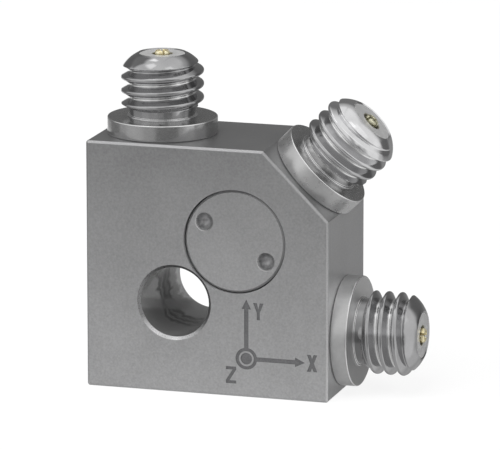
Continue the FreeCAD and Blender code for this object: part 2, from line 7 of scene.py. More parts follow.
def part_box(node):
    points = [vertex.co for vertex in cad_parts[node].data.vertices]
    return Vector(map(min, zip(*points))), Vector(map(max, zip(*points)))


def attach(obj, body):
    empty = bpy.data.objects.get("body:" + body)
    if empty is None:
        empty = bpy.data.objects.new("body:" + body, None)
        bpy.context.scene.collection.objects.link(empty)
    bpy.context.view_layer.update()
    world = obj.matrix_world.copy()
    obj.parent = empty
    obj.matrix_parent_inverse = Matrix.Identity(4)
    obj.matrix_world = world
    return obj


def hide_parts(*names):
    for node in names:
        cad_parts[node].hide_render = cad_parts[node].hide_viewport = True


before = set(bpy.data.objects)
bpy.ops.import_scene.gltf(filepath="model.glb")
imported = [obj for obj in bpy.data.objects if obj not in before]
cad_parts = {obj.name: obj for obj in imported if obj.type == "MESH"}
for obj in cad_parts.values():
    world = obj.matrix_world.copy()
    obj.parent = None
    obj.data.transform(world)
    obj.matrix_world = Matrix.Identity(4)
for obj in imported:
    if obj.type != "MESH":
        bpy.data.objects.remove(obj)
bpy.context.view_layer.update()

# Small steel vibration sensor with three threaded connectors. Blender works in metres;
# the sizes in the dictionaries are millimetres.
mm = 0.001


# Building surfaces

def gridFaces(rows, columns, joined):
    # quads between neighbouring rows and columns; joined closes the last column to the first
    row = np.arange(rows - 1)[:, None]
    column = np.arange(columns if joined else columns - 1)[None, :]
    after = (column + 1) % columns
    corners = [row * columns + column, row * columns + after]
    corners += [(row + 1) * columns + after, (row + 1) * columns + column]
    return np.stack(corners, -1).reshape(-1, 4)


def surface(points, joined=True, capped=False):
    # a rows x columns x 3 grid of points, with a flat lid on its first and last row if capped
    rows, columns = points.shape[:2]
    faces = [gridFaces(rows, columns, joined)]
    if capped:
        ring = np.arange(columns)
        faces += [ring[None, ::-1], ring[None, :] + (rows - 1) * columns]
    return points.reshape(-1, 3), faces


weldDistance = 1e-6     # metres
sharpAngle = 30.0       # degrees between two faces, above which their edge stays sharp


def weld(mesh):
    # merges points that meet, drops slivers and turns all faces outwards
    tidy = bmesh.new()
    tidy.from_mesh(mesh)
    bmesh.ops.remove_doubles(tidy, verts=tidy.verts, dist=weldDistance)
    bmesh.ops.dissolve_degenerate(tidy, edges=tidy.edges, dist=weldDistance)
    bmesh.ops.recalc_face_normals(tidy, faces=tidy.faces)
    tidy.to_mesh(mesh)
    tidy.free()


def smoothBySize(piece):
    # smooth shading in which wide flat faces keep their own direction
    piece.data.shade_smooth()
    piece.data.set_sharp_from_angle(angle=np.radians(sharpAngle))
    piece.modifiers.clear()
    weighted = piece.modifiers.new("flat faces stay flat", "WEIGHTED_NORMAL")
    weighted.keep_sharp = True
    weighted.weight = 100


def makePiece(name, surfaces, material):
    # one mesh from one or more surfaces given in millimetres
    points, faces, used = [], [], 0
    for part, polygons in surfaces:
        points.append(part)
        faces += [polygon + used for polygon in polygons]
        used += len(part)
    mesh = bpy.data.meshes.new(name)
    corners = np.concatenate([polygon.ravel() for polygon in faces])
    sides = np.concatenate([np.full(len(polygon), polygon.shape[1]) for polygon in faces])
    mesh.vertices.add(used)
    mesh.vertices.foreach_set("co", (np.concatenate(points) * mm).ravel())
    mesh.loops.add(len(corners))
    mesh.loops.foreach_set("vertex_index", corners)
    mesh.polygons.add(len(sides))
    mesh.polygons.foreach_set("loop_start", np.cumsum(sides) - sides)
    mesh.update(calc_edges=True)
    weld(mesh)
    mesh.materials.append(material)
    piece = bpy.data.objects.new(name, mesh)
    bpy.context.scene.collection.objects.link(piece)
    smoothBySize(piece)
    return piece


def carve(piece, tools):
    # takes each tool's volume out of the piece; the new walls get the tool's material
    piece.modifiers.clear()
    for tool in tools:
        cut = piece.modifiers.new(tool.name, "BOOLEAN")
        cut.operation = "DIFFERENCE"
        cut.solver = "EXACT"
        cut.material_mode = "TRANSFER"
        cut.object = tool
    shaped = piece.evaluated_get(bpy.context.evaluated_depsgraph_get())
    carved = bpy.data.meshes.new_from_object(shaped)
    weld(carved)
    old = piece.data
    piece.data = carved
    bpy.data.meshes.remove(old)
    for tool in tools:
        bpy.data.meshes.remove(tool.data)       # its object goes with it
    smoothBySize(piece)


def triples(parts, key):
    # three numbers for each face or point, such as a face's normal or a point's place
    values = np.empty(len(parts) * 3, np.float32)
    parts.foreach_get(key, values)
    return values.reshape(-1, 3)


def finishWith(piece, choices):
    # each (faces, material) pair gets a new slot; where pairs share a face, the later one wins
    slots = np.zeros(len(piece.data.polygons), np.int32)
    piece.data.polygons.foreach_get("material_index", slots)
    for faces, material in choices:
        piece.data.materials.append(material)
        slots[faces] = len(piece.data.materials) - 1
    piece.data.polygons.foreach_set("material_index", slots)


def arcBetween(first, last, turn, steps):
    # an arc from one arm to another of the same length, with the given angle a between them:
    # the arms' sum, weighted by sin((1 - t) a) and sin(t a) over sin(a)
    t = np.linspace(0, 1, steps + 1)[:, None]
    return (np.sin((1 - t) * turn) * first + np.sin(t * turn) * last) / np.sin(turn)


def rounded(corners, radii, steps=6):
    # a chain of (radius, height) corners, some replaced by arcs of their own size: an arc's
    # centre lies on the corner's bisector, and its ends touch the two sides
    corners = np.asarray(corners, float)
    chain = []
    for i, corner in enumerate(corners):
        size = radii.get(i, 0.0)
        if size == 0.0:
            chain.append(corner[None])
            continue
        back = corners[i - 1] - corner
        ahead = corners[(i + 1) % len(corners)] - corner
        back /= np.linalg.norm(back)
        ahead /= np.linalg.norm(ahead)
        half = np.arccos(np.clip(back @ ahead, -1, 1)) / 2
        middle = (back + ahead) / np.linalg.norm(back + ahead)
        centre = corner + middle * size / np.sin(half)
        first = corner + back * size / np.tan(half) - centre
        last = corner + ahead * size / np.tan(half) - centre
        chain.append(centre + arcBetween(first, last, np.pi - 2 * half, steps))
    return np.concatenate(chain)


def anglesRound(segments):
    return np.arange(segments) * 2 * np.pi / segments


def aroundAxis(radius, height, segments):
    # a circle of points for each row: x = r cos a, y = r sin a, z = h
    angle = anglesRound(segments)
    lifted = np.broadcast_to(height, (len(height), segments))
    return np.stack([radius * np.cos(angle), radius * np.sin(angle), lifted], -1)


def turned(profile, segments):
    # each (radius, height) point of the profile goes round
    profile = np.asarray(profile, float)
    return aroundAxis(profile[:, :1], profile[:, 1:], segments)


def prism(outline, low, high):
    # a flat outline of (x, y) points, repeated at two heights
    ends = [np.column_stack([outline, np.full(len(outline), height)]) for height in (low, high)]
    return np.stack(ends)


def placed(points, place):
    # local points to the block's frame: origin + x across + y along + z out
    across, along, out, origin = place
    return origin + points[..., :1] * across + points[..., 1:2] * along + points[..., 2:] * out


def placeOf(origin, out, across):
    # a place for such points, from its origin and two of its directions
    out = np.asarray(out, float) / np.linalg.norm(out)
    across = np.asarray(across, float) / np.linalg.norm(across)
    return across, np.cross(out, across), out, np.asarray(origin, float)


def solid(name, points, place, material):
    # a piece from one grid of local points, with lids on its first and last row
    return makePiece(name, [surface(placed(points, place), capped=True)], material)


def turnedSolid(name, profile, place, material, segments=128):
    return solid(name, turned(profile, segments), place, material)


def aboutAxis(points, place):
    # how far points in metres lie from a place's axis, and how high along it, in millimetres
    across, along, out, origin = place
    local = points / mm - origin
    return np.hypot(local @ across, local @ along), local @ out


# Places that the frame gives, in millimetres

def nodeBox(name):
    low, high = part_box(name)
    return np.array(low) / mm, np.array(high) / mm


blockLow, blockHigh = nodeBox("housing")
blockDepth = blockHigh[1] - blockLow[1]
coverLow, coverHigh = nodeBox("cover")
frontPlace = placeOf((0, blockLow[1], 0), (0, -1, 0), (1, 0, 0))
coverCentre = (coverLow + coverHigh) / 2
coverPlace = placeOf((coverCentre[0], blockLow[1], coverCentre[2]), (0, -1, 0), (1, 0, 0))

block = {
    "cornerCut": 3.9,
    "cutShift": 0.12,
    "edgeBevel": 0.13,
    "edgeRound": 0.04,
    "boreRadius": 2.05,
    "boreBevel": 0.17,
    "seatRadius": 3.05,
    "seatDepth": 1.0,
    "roomRadius": 2.65,
    "boardDepth": 2.7,
    "cavityRadius": 2.3,
    "backWall": 1.0,
    "spigotRadius": 1.6,
    "spigotDepth": 1.6,
    "passageRadius": 0.45,
    "passageSlant": 45.0,
    "passageOffset": 0.95,
    "passageRing": 1.8,
}
poke = 0.5      # how far a cutting tool reaches past the face that it opens

# each connector's own place: its origin on the block's surface, and its axis outwards
topCentre = sum(nodeBox("y_connector_shell")) / 2
sideCentre = sum(nodeBox("x_connector_shell")) / 2
axisDepth = topCentre[1]
cutMiddle = blockHigh[0] - block["cornerCut"] / 2
cutShift = block["cutShift"] * np.sqrt(0.5)
connectorPlaces = {
    "y": placeOf((topCentre[0], axisDepth, blockHigh[2]), (0, 0, 1), (1, 0, 0)),
    "z": placeOf((cutMiddle + cutShift, axisDepth, cutMiddle - cutShift), (1, 0, 1), (1, 0, -1)),
    "x": placeOf((blockHigh[0], axisDepth, sideCentre[2]), (1, 0, 0), (0, 0, -1)),
}


# Materials

def newMaterial(name):
    material = bpy.data.materials.new(name)
    material.use_nodes = True
    tree = material.node_tree
    shader = tree.nodes["Principled BSDF"]
    return material, tree, shader


def node(tree, kind, values=None, **inputs):
    # a node with its properties set, and its inputs given as numbers or sockets; i0, i1 and so
    # on stand for an input by its number
    made = tree.nodes.new(kind)
    for key, value in (values or {}).items():
        setattr(made, key, value)
    for key, value in inputs.items():
        socket = made.inputs[int(key[1:]) if key[1:].isdigit() else key]
        if isinstance(value, bpy.types.NodeSocket):
            tree.links.new(value, socket)
        else:
            socket.default_value = value
    return made


def grain(tree, coordinates, scale, detail=2.0):
    made = node(tree, "ShaderNodeTexNoise", Vector=coordinates, Scale=scale, Detail=detail)
    return made.outputs["Fac"]


def between(tree, factor, low, high, start=0.3, stop=0.7):
    # the factor's range from start to stop becomes low to high
    made = node(tree, "ShaderNodeMapRange", i0=factor, i1=start, i2=stop, i3=low, i4=high)
    return made.outputs[0]


def valueMix(tree, factor, first, second):
    # the first where the factor is 0, the second where it is 1
    return node(tree, "ShaderNodeMix", i0=factor, i2=first, i3=second).outputs[0]


def colourMix(tree, factor, first, second):
    # the same for two colours or sockets
    ends = [end if isinstance(end, bpy.types.NodeSocket) else (*end, 1) for end in (first, second)]
    made = node(tree, "ShaderNodeMix", {"data_type": "RGBA"}, i0=factor, i6=ends[0], i7=ends[1])
    return made.outputs[2]


def calculate(tree, operation, first, second=0.0, third=0.0):
    made = node(tree, "ShaderNodeMath", {"operation": operation}, i0=first, i1=second, i2=third)
    return made.outputs[0]


def paintedLightByHeight(tree, grey, height, look):
    # painted light and shade by height: the grey times a factor that changes evenly from the foot's
    # value to the head's between two heights, those of the block's foot and head where the look names
    # none
    low, high = look.get("paintedLightHeights", (blockLow[2], blockHigh[2]))
    tone = between(tree, height, look["footPaintedLight"], look["headPaintedLight"], low * mm, high * mm)
    made = node(tree, "ShaderNodeVectorMath", {"operation": "SCALE"}, Vector=grey, Scale=tone)
    return made.outputs[0]


bumpHeight = 0.01   # how far the bump of a finish may rise


def finishShader(tree, shader, colour, gloss, roughness, metallic):
    # the colour as it is, and the roughness from the noise that stands for gloss
    tree.links.new(colour, shader.inputs["Base Color"])
    tree.links.new(between(tree, gloss, *roughness), shader.inputs["Roughness"])
    shader.inputs["Metallic"].default_value = metallic


def addBump(tree, shader, lift, strength):
    bump = node(tree, "ShaderNodeBump", Strength=strength, Distance=bumpHeight * mm, Height=lift)
    tree.links.new(bump.outputs[0], shader.inputs["Normal"])


def objectCoordinates(tree):
    return tree.nodes.new("ShaderNodeTexCoord").outputs["Object"]


def stored(tree, name):
    # what the mesh keeps at each point under that name
    return node(tree, "ShaderNodeAttribute", {"attribute_name": name}).outputs["Fac"]


def steelGreys(tree, noise, look):
    # by the noise, from the first of the look's greys to the second, with a little more blue
    ends = [(grey, grey, grey + look["blue"]) for grey in look["greys"]]
    return colourMix(tree, between(tree, noise, 0, 1), *ends)


blastedSteel = {
    "greys": (0.46, 0.62),
    "blue": 0.005,
    "roughness": (0.34, 0.44),
    "metallic": 0.93,
    "grainScale": 9000.0,
    "cloudScale": 260.0,
    "cloudShare": 0.35,
    "bump": 0.4,
    # painted light towards the block's foot and painted shade towards its head
    "footPaintedLight": 1.12,
    "headPaintedLight": 0.66,
}


def makeBlastedSteel(name, look):
    # grey = two parts of a fine grain, about 0.1 mm wide, to one of broad faint clouds, with
    # painted light and shade by height; gloss follows the same mix
    material, tree, shader = newMaterial(name)
    where = objectCoordinates(tree)
    fine = grain(tree, where, look["grainScale"], 3.0)
    cloud = grain(tree, where, look["cloudScale"], 4.0)
    both = valueMix(tree, look["cloudShare"], fine, cloud)
    grey = steelGreys(tree, both, look)
    height = node(tree, "ShaderNodeSeparateXYZ", Vector=where).outputs["Z"]
    colour = paintedLightByHeight(tree, grey, height, look)
    finishShader(tree, shader, colour, both, look["roughness"], look["metallic"])
    addBump(tree, shader, fine, look["bump"])
    return material


markedSteel = {
    **blastedSteel,
    "greys": (0.15, 0.25),
    "roughness": (0.45, 0.6),
    "metallic": 0.8,
    "grainScale": 12000.0,
    "cloudScale": 1500.0,
    "bump": 0.3,
    # painted light at the foot and painted shade at the head, as on the block
    "footPaintedLight": 1.1,
    "headPaintedLight": 0.84,
}

# painted shade: a dark grey for the groove round the cover, the walls of the seat behind it and the
# connectors' feet against the block
groovePaintedShade = {
    **blastedSteel,
    "greys": (0.18, 0.22),
    "blue": 0.002,
    "roughness": (0.5, 0.65),
    "metallic": 0.0,
    "cloudScale": 900.0,
    "bump": 0.2,
    "footPaintedLight": 1.0,
    "headPaintedLight": 1.0,
}

coverSteel = {
    **blastedSteel,
    "greys": (0.49, 0.65),
    # painted shade towards the head, as on the block
    "headPaintedLight": 0.68,
}

# the right face: the block's blasted steel in a lighter grey, painted light
sidePaintedLight = {
    **blastedSteel,
    "greys": (0.62, 0.75),
    "footPaintedLight": 0.96,
    "headPaintedLight": 0.98,
}

# the bevel along the top: a painted highlight, lighter than the painted shade of the top face beside
# it
edgeHighlight = {
    **blastedSteel,
    "greys": (0.44, 0.5),
    "roughness": (0.3, 0.4),
    "bump": 0.2,
    "footPaintedLight": 1.0,
    "headPaintedLight": 1.0,
}

# the bevel at the bore's mouth: a painted highlight below and painted shade from the middle upwards
mouthLightAndShade = {
    **blastedSteel,
    "greys": (0.58, 0.66),
    "roughness": (0.25, 0.35),
    "bump": 0.1,
    "footPaintedLight": 1.05,
    "headPaintedLight": 0.42,
    "paintedLightHeights": (-1.75, -0.9),
}

# the side connector's ring: a grey of painted light, with painted shade from the middle downwards,
# where it lies in its neck's shade
sideRingLightAndShade = {
    **blastedSteel,
    "greys": (0.91, 0.97),
    "blue": 0.0,
    "roughness": (0.3, 0.4),
    "bump": 0.1,
    "footPaintedLight": 0.66,
    "headPaintedLight": 1.0,
    "paintedLightHeights": (-1.4, 0.3),
}

holeSteel = {
    **blastedSteel,
    "greys": (0.2, 0.6),
    "roughness": (0.3, 0.45),
    "metallic": 0.8,
    "grainScale": 3500.0,
    "cloudScale": 1800.0,
    "bump": 0.9,
    "footPaintedLight": 1.0,
    "headPaintedLight": 1.0,
}

# the heights of these lie along each connector's own axis
turnedSteel = {
    "greys": (0.47, 0.55),
    "blue": 0.005,
    # the painted highlight's grey, in thread roots and on rounded edges
    "bright": (0.95, 0.95, 0.95),
    "roughness": (0.08, 0.14),
    "metallic": 1.0,
    "lineScale": 30000.0,
    "cloudScale": 900.0,
    "bump": 0.06,
    "footPaintedLight": 1.0,
    "headPaintedLight": 1.0,
    "paintedLightHeights": (3.4, 3.9),
}

# painted shade towards the side connector's neck, painted light on the corner connector's upper
# thread and end
sideSteelTurned = {**turnedSteel, "footPaintedLight": 0.76}
cornerSteelTurned = {**turnedSteel, "footPaintedLight": 1.08, "headPaintedLight": 1.65, "paintedLightHeights": (5.2, 5.6)}


def makeTurnedSteel(name, look):
    # tool lines: noise along the height that each point has on its own turning axis; where the
    # stored highlight share nears 1, in thread roots and on rounded edges, the grey turns to a
    # painted highlight
    material, tree, shader = newMaterial(name)
    height = stored(tree, "turningHeight")
    across = node(tree, "ShaderNodeCombineXYZ", X=height).outputs[0]
    lines = grain(tree, across, look["lineScale"], 2.0)
    cloud = grain(tree, objectCoordinates(tree), look["cloudScale"], 3.0)
    grey = steelGreys(tree, cloud, look)
    bright = stored(tree, "paintedHighlight")
    colour = colourMix(tree, bright, paintedLightByHeight(tree, grey, height, look), look["bright"])
    finishShader(tree, shader, colour, lines, look["roughness"], look["metallic"])
    addBump(tree, shader, lines, look["bump"])
    return material


boreReflections = {
    # painted reflections: (share of the bore's depth, grey) for the wall above, below and near the
    # split
    "upper": (
        (0.0, 0.5), (0.37, 0.55), (0.42, 0.09), (0.49, 0.26), (0.55, 0.06),
        (0.62, 0.2), (0.67, 0.08), (0.72, 0.42), (0.8, 0.46), (0.85, 0.85),
    ),
    "lower": (
        (0.0, 0.2), (0.38, 0.22), (0.43, 0.05), (0.49, 0.26), (0.54, 0.05),
        (0.6, 0.26), (0.64, 0.08), (0.7, 0.42), (1.0, 0.5),
    ),
    "middle": ((0.0, 0.35), (0.36, 0.33), (0.46, 0.2), (0.56, 0.28), (0.7, 0.3), (1.0, 0.5)),
    "split": -0.15,
    "splitFall": 0.237,
    "splitBlend": 0.08,
    "middleReach": 0.42,
    "sway": 0.13,
    "swayScale": 800.0,
    "stretch": (1.0, 0.3, 1.0),
    "roughness": 0.22,
    "metallic": 0.7,
}


def depthRamp(tree, share, stops):
    # greys that follow one another evenly between the given shares
    ramp = tree.nodes.new("ShaderNodeValToRGB")
    ramp.color_ramp.elements.remove(ramp.color_ramp.elements[1])
    for i, (at, grey) in enumerate(stops):
        stop = ramp.color_ramp.elements[0] if i == 0 else ramp.color_ramp.elements.new(at)
        stop.position = at
        stop.color = (grey, grey, grey, 1)
    tree.links.new(share, ramp.inputs["Fac"])
    return ramp.outputs["Color"]


def makePaintedBoreReflections(name, look):
    # painted reflections in dark and light bands: the grey follows the share of the bore's depth,
    # swayed by noise stretched along the bore; above the split height, which falls with depth, it
    # takes the upper wall's greys, below the lower's, and near it the middle's
    material, tree, shader = newMaterial(name)
    where = objectCoordinates(tree)
    along = node(tree, "ShaderNodeVectorMath", {"operation": "MULTIPLY"}, i0=where,
                 i1=look["stretch"]).outputs[0]
    sway = between(tree, grain(tree, along, look["swayScale"], 3.0), -look["sway"], look["sway"])
    axes = node(tree, "ShaderNodeSeparateXYZ", Vector=where)
    share = between(tree, axes.outputs["Y"], 0, 1, blockLow[1] * mm, blockHigh[1] * mm)
    swayed = calculate(tree, "ADD", share, sway)
    lifted = calculate(tree, "MULTIPLY_ADD", axes.outputs["Y"], look["splitFall"], axes.outputs["Z"])
    split = (look["split"] + look["splitFall"] * blockLow[1]) * mm
    blend, reach = look["splitBlend"] * mm, look["middleReach"] * mm
    high = between(tree, lifted, 0, 1, split - blend, split + blend)
    apart = calculate(tree, "ABSOLUTE", calculate(tree, "SUBTRACT", lifted, split))
    near = between(tree, apart, 1, 0, reach / 2, reach)
    walls = {part: depthRamp(tree, swayed, look[part]) for part in ("upper", "lower", "middle")}
    mixed = colourMix(tree, high, walls["lower"], walls["upper"])
    tree.links.new(colourMix(tree, near, mixed, walls["middle"]), shader.inputs["Base Color"])
    shader.inputs["Roughness"].default_value = look["roughness"]
    shader.inputs["Metallic"].default_value = look["metallic"]
    return material


# plated metal with blotches
goldPlate = {
    "dark": (0.78, 0.66, 0.36),
    "light": (0.98, 0.92, 0.66),
    "roughness": (0.2, 0.32),
    "scale": 4000.0,
    "metallic": 0.75,
    "bump": 0.0,
    "detail": 2.0,
}

# the corner contact's plating mixes a much darker grey-brown with a paler gold
cornerGoldPlate = {**goldPlate, "dark": (0.3, 0.28, 0.18), "light": (0.9, 0.88, 0.68)}


def makePlain(name, dark, light, roughness, scale, metallic=0.0, bump=0.1, detail=3.0):
    # two close colours mixed by fine noise, with gloss and bump, if any, from the same noise
    material, tree, shader = newMaterial(name)
    cloud = grain(tree, objectCoordinates(tree), scale, detail)
    colour = colourMix(tree, between(tree, cloud, 0, 1), dark, light)
    finishShader(tree, shader, colour, cloud, roughness, metallic)
    if bump > 0:
        addBump(tree, shader, cloud, bump)
    return material


satin = {
    "spread": 0.04,
    "scale": 4000.0,
    "bump": 0.03,
}


def makeSatin(name, grey, roughness, metallic):
    # plain turned faces: a grey that the spread makes darker and lighter, by fine noise
    dark, light = (grey * (1 - satin["spread"]),) * 3, (grey * (1 + satin["spread"]),) * 3
    return makePlain(name, dark, light, roughness, satin["scale"], metallic, satin["bump"])


blockMaterial = makeBlastedSteel("blastedSteel", blastedSteel)
coverMaterial = makeBlastedSteel("coverSteel", coverSteel)
markMaterial = makeBlastedSteel("markedSteel", markedSteel)
groovePaintedShadeMaterial = makeBlastedSteel("groovePaintedShade", groovePaintedShade)
footPaintedShadeMaterial = makeBlastedSteel("footPaintedShade", groovePaintedShade)
edgeHighlightMaterial = makeBlastedSteel("edgeHighlight", edgeHighlight)
mouthLightAndShadeMaterial = makeBlastedSteel("mouthLightAndShade", mouthLightAndShade)
sidePaintedLightMaterial = makeBlastedSteel("sidePaintedLight", sidePaintedLight)
holeMaterial = makeBlastedSteel("holeSteel", holeSteel)
boreReflectionMaterial = makePaintedBoreReflections("boreReflections", boreReflections)
shellMaterials = {
    "x": makeTurnedSteel("sideSteelTurned", sideSteelTurned),
    "y": makeTurnedSteel("topSteelTurned", turnedSteel),
    "z": makeTurnedSteel("cornerSteelTurned", cornerSteelTurned),
}
pinMouthMaterial = makeSatin("pinMouthSteel", 0.6, (0.25, 0.35), 0.95)
# the three connectors are one steel; their ends, rings and flanges get greys of their own by
# connector, lighter or darker, as painted light and shade
endMaterials = {
    "x": makeSatin("sideEndSteel", 0.8, (0.35, 0.45), 0.8),
    "y": makeSatin("topEndSteel", 0.7, (0.35, 0.45), 0.7),
    "z": makeSatin("cornerEndSteel", 0.68, (0.35, 0.45), 0.7),
}
ringMaterials = {
    "x": makeBlastedSteel("sideRingLightAndShade", sideRingLightAndShade),
    "y": makeSatin("topRingSteel", 0.38, (0.2, 0.3), 0.95),
    "z": makeSatin("cornerRingSteel", 0.45, (0.2, 0.3), 0.95),
}
flangeMaterials = {
    "x": makeSatin("sideFlangeSteel", 0.62, (0.3, 0.38), 0.95),
    "y": makeSatin("topFlangeSteel", 0.48, (0.14, 0.2), 0.95),
    "z": makeSatin("cornerFlangeSteel", 0.6, (0.26, 0.34), 0.95),
}
socketMaterial = makePlain(
    "socketWall", (0.2, 0.195, 0.16), (0.3, 0.29, 0.24), (0.35, 0.45), 5000.0, 0.3
)
goldMaterials = {
    "x": makePlain("sideGold", **goldPlate),
    "y": makePlain("topGold", **goldPlate),
    "z": makePlain("cornerGold", **cornerGoldPlate),
}
print("materials made")


# Housing: a bevelled prism with its holes, seat, passages and axis sign cut out

def bevelledPrism(corners, low, high, size, soft, steps=5):
    # the outline moved in past the bevel and pushed out again along its normals; reach and
    # height follow the bevel's two softened corners from the face to the side
    corners = np.asarray(corners, float)
    edge = rounded([(-1, 0), (0, 0), (size, -size), (size, -1)], {1: soft, 2: soft}, 3)[1:-1]
    edge[:, 0] -= edge[0, 0]
    inset = edge[-1, 0]
    sides = np.roll(corners, -1, 0) - corners
    sides /= np.linalg.norm(sides, axis=1)[:, None]
    normals = np.column_stack([sides[:, 1], -sides[:, 0]])
    base, ways = [], []
    for i, corner in enumerate(corners):
        before, after = normals[i - 1], normals[i]
        turn = np.arccos(np.clip(before @ after, -1, 1))
        inner = corner - (before + after) * inset / (1 + before @ after)
        base.append(np.repeat(inner[None], steps + 1, 0))
        ways.append(arcBetween(before, after, turn, steps))
    base, ways = np.concatenate(base), np.concatenate(ways)
    reach = np.concatenate([edge[:, 0], edge[::-1, 0]])
    height = np.concatenate([low - edge[:, 1], high + edge[::-1, 1]])
    flat = base[None] + ways[None] * reach[:, None, None]
    return np.concatenate([flat, np.broadcast_to(height[:, None, None], (*flat.shape[:2], 1))], -1)


def boreTools():
    # the through bore, then the bevel at its front mouth
    radius, bevel = block["boreRadius"], block["boreBevel"]
    through = [(radius, -blockDepth - poke), (radius, poke)]
    mouth = [(radius - bevel, -2 * bevel), (radius + bevel + poke, poke)]
    return [
        turnedSolid("boreTool", through, frontPlace, boreReflectionMaterial),
        turnedSolid("mouthTool", mouth, frontPlace, mouthLightAndShadeMaterial),
    ]


def cavityTool():
    # the stepped room behind the cover: its seat, the board's shoulder and the deep part
    deep, room, seat = block["cavityRadius"], block["roomRadius"], block["seatRadius"]
    back, shoulder, ledge = block["backWall"] - blockDepth, -block["boardDepth"], -block["seatDepth"]
    profile = [(deep, back), (deep, shoulder), (room, shoulder), (room, ledge), (seat, ledge),
               (seat, poke)]
    # its walls, seen in the gap round the cover, get painted shade
    return turnedSolid("cavityTool", profile, coverPlace, groovePaintedShadeMaterial)


def spigotTool(letter):
    # the bore for a connector's spigot
    profile = [(block["spigotRadius"], -block["spigotDepth"]), (block["spigotRadius"], poke)]
    return turnedSolid(f"{letter}SpigotTool", profile, connectorPlaces[letter], blockMaterial)


def passageTool(letter, side):
    # a slanted bore from just above the floor of the spigot's bore into the cavity
    across, along, out, origin = connectorPlaces[letter]
    slant = np.radians(side * block["passageSlant"])
    way = np.sin(slant) * across - np.cos(slant) * out
    start = origin - out * block["spigotDepth"] + across * side * block["passageOffset"]
    middle = np.array([coverCentre[0], axisDepth, coverCentre[2]])
    reach = (middle - start) @ way - block["passageRing"]
    radius = block["passageRadius"]
    profile = [(radius, -reach), (radius, radius)]
    return turnedSolid(f"{letter}PassageTool", profile, placeOf(start, -way, along), blockMaterial)


# Axis sign on the front face: a ring with a dot, two arrows and three letters
sign = {
    "centre": (4.35, -3.01),
    "depth": 0.03,
    "ringRadius": 0.64,
    "ringLine": 0.19,
    "dotRadius": 0.34,
    "arrowLine": 0.25,
    "arrowLength": 3.5,
    "headLength": 0.58,
    "headWidth": 0.56,
    "letterHeight": 1.0,
    "letterWidth": 0.62,
    "letterStroke": 0.18,
    "slantStroke": 0.22,
    "fork": 0.14,
    "xOffset": (3.93, 0.0),
    "yOffset": (0.72, 2.82),
    "zOffset": (-0.92, -1.02),
    "segments": 64,
}


def arrowOutline():
    # an arrow that points up and starts in the middle of the ring's line
    line, head = sign["arrowLine"] / 2, sign["headWidth"] / 2
    foot = sign["ringRadius"] - sign["ringLine"] / 2
    neck, tip = sign["arrowLength"] - sign["headLength"], sign["arrowLength"]
    return np.array([(-line, foot), (line, foot), (line, neck), (head, neck), (0, tip), (-head, neck),
                     (-line, neck)])


def letterOutlines():
    # block letters round (0, 0), of stems and slanting strokes
    w, h = sign["letterWidth"] / 2, sign["letterHeight"] / 2
    slant, bar = sign["slantStroke"], sign["letterStroke"]
    inner, stem, fork = w - slant, bar / 2, sign["fork"]
    notch = h - 2 * h * inner / (2 * w - slant)
    letterX = [(-w, h), (-slant / 2, 0), (-w, -h), (-inner, -h), (0, -notch), (inner, -h), (w, -h),
               (slant / 2, 0), (w, h), (inner, h), (0, notch), (-inner, h)]
    letterY = [(-w, h), (-stem, -fork / 2), (-stem, -h), (stem, -h), (stem, -fork / 2), (w, h),
               (inner, h), (0, fork), (-inner, h)]
    letterZ = [(-w, -h), (w, -h), (w, bar - h), (-inner, bar - h), (w, h - bar), (w, h), (-w, h),
               (-w, h - bar), (inner, h - bar), (-w, bar - h)]
    return ("x", letterX), ("y", letterY), ("z", letterZ)


def markTool(name, outlines):
    # each outline becomes a prism that reaches from the floor of the mark to above the face
    surfaces = []
    for outline in outlines:
        points = prism(outline + sign["centre"], -sign["depth"], poke)
        surfaces.append(surface(placed(points, frontPlace), capped=True))
    return makePiece(name, surfaces, markMaterial)


def ringTool():
    # the band between two circles, closed all round as four walls
    outer, inner = sign["ringRadius"], sign["ringRadius"] - sign["ringLine"]
    low, high = -sign["depth"], poke
    loop = [(inner, low), (outer, low), (outer, high), (inner, high), (inner, low)]
    points = turned(loop, sign["segments"])
    points[..., :2] += sign["centre"]
    return makePiece("ringTool", [surface(placed(points, frontPlace))], markMaterial)


def signTools():
    letters = [np.add(outline, sign[f"{name}Offset"]) for name, outline in letterOutlines()]
    dot = turned([(sign["dotRadius"], 0)], sign["segments"])[0, :, :2]
    up = arrowOutline()
    right = np.column_stack([up[:, 1], -up[:, 0]])
    return [
        ringTool(),
        markTool("dotTool", [dot]),
        markTool("upArrowTool", [up]),
        markTool("rightArrowTool", [right]),
        markTool("letterTool", letters),
    ]


square = 0.95       # a face whose normal runs this far along an axis lies square to it
straight = 0.999    # and this far exactly so
slanting = 0.25     # one whose normal runs this far along two axes slants
closeBy = 0.01      # how close a face lies to the level that it is picked by


def finishFaces(piece):
    # the bevel along the top gets a painted highlight, and the right face painted light; the front
    # face, whose polygons run between the marks, is shaded flat
    faces = piece.data.polygons
    normal, middle = triples(faces, "normal"), triples(faces, "center") / mm
    high = middle[:, 2] > blockHigh[2] - block["edgeBevel"] - closeBy
    lean = -normal[:, 1]
    bevel = high & (lean > slanting) & (lean < square) & (normal[:, 2] > slanting)
    side = (normal[:, 0] > square) & (middle[:, 0] > blockHigh[0] - closeBy)
    finishWith(piece, [(bevel, edgeHighlightMaterial), (side, sidePaintedLightMaterial)])
    faces.foreach_set("use_smooth", lean < straight)


